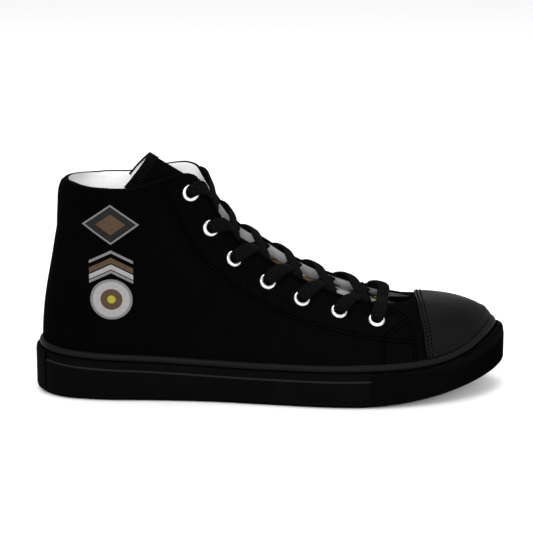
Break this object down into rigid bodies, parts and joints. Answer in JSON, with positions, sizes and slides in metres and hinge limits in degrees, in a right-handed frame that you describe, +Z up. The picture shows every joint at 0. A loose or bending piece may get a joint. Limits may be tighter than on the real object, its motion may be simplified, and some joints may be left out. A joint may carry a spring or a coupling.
{
  "type": "high top sneaker",
  "caption": "Right high top sneaker with a canvas upper, smooth toe cap, laced throat with metal eyelets, bowed tongue, piping and a flat rubber cup sole",
  "frame": {"origin": "middle of the sole's box, on the floor", "axes": "+X to the toe, +Y to the inner side of the foot, +Z up"},
  "size_m": [0.2954, 0.1068, 0.1494],
  "materials": {
    "upper_canvas": "matt black twill canvas",
    "tongue_canvas": "matt black canvas with a pale lining",
    "binding_tape": "ribbed woven tape",
    "toe_cap_leather": "smooth, half matt",
    "sole_rubber": "matt black moulded rubber",
    "bead_rubber": "satin black piping",
    "lace_cloth": "flat woven black lace",
    "eyelet_metal": "nickel plated, satin",
    "insole_cloth": "pale woven lining"
  },
  "bodies": {
    "root": {"outsole": "sole_rubber", "midsole": "sole_rubber", "toe_bumper": "sole_rubber", "heel_patch": "sole_rubber", "welt_bead": "bead_rubber", "insole": "insole_cloth", "upper": "upper_canvas", "toe_cap": "toe_cap_leather", "eyestay_lateral": "upper_canvas", "eyestay_medial": "upper_canvas", "tongue": "tongue_canvas", "tongue_binding": "binding_tape", "lace_bar": "lace_cloth", "lace_crossing_1": "lace_cloth", "lace_crossing_2": "lace_cloth", "lace_crossing_3": "lace_cloth", "lace_crossing_4": "lace_cloth", "lace_crossing_5": "lace_cloth", "lace_crossing_6": "lace_cloth", "eyelet_lateral_1": "eyelet_metal", "eyelet_lateral_2": "eyelet_metal", "eyelet_lateral_3": "eyelet_metal", "eyelet_lateral_4": "eyelet_metal", "eyelet_lateral_5": "eyelet_metal", "eyelet_lateral_6": "eyelet_metal", "eyelet_lateral_7": "eyelet_metal", "eyelet_medial_1": "eyelet_metal", "eyelet_medial_2": "eyelet_metal", "eyelet_medial_3": "eyelet_metal", "eyelet_medial_4": "eyelet_metal", "eyelet_medial_5": "eyelet_metal", "eyelet_medial_6": "eyelet_metal", "eyelet_medial_7": "eyelet_metal"}
  },
  "joints": []
}
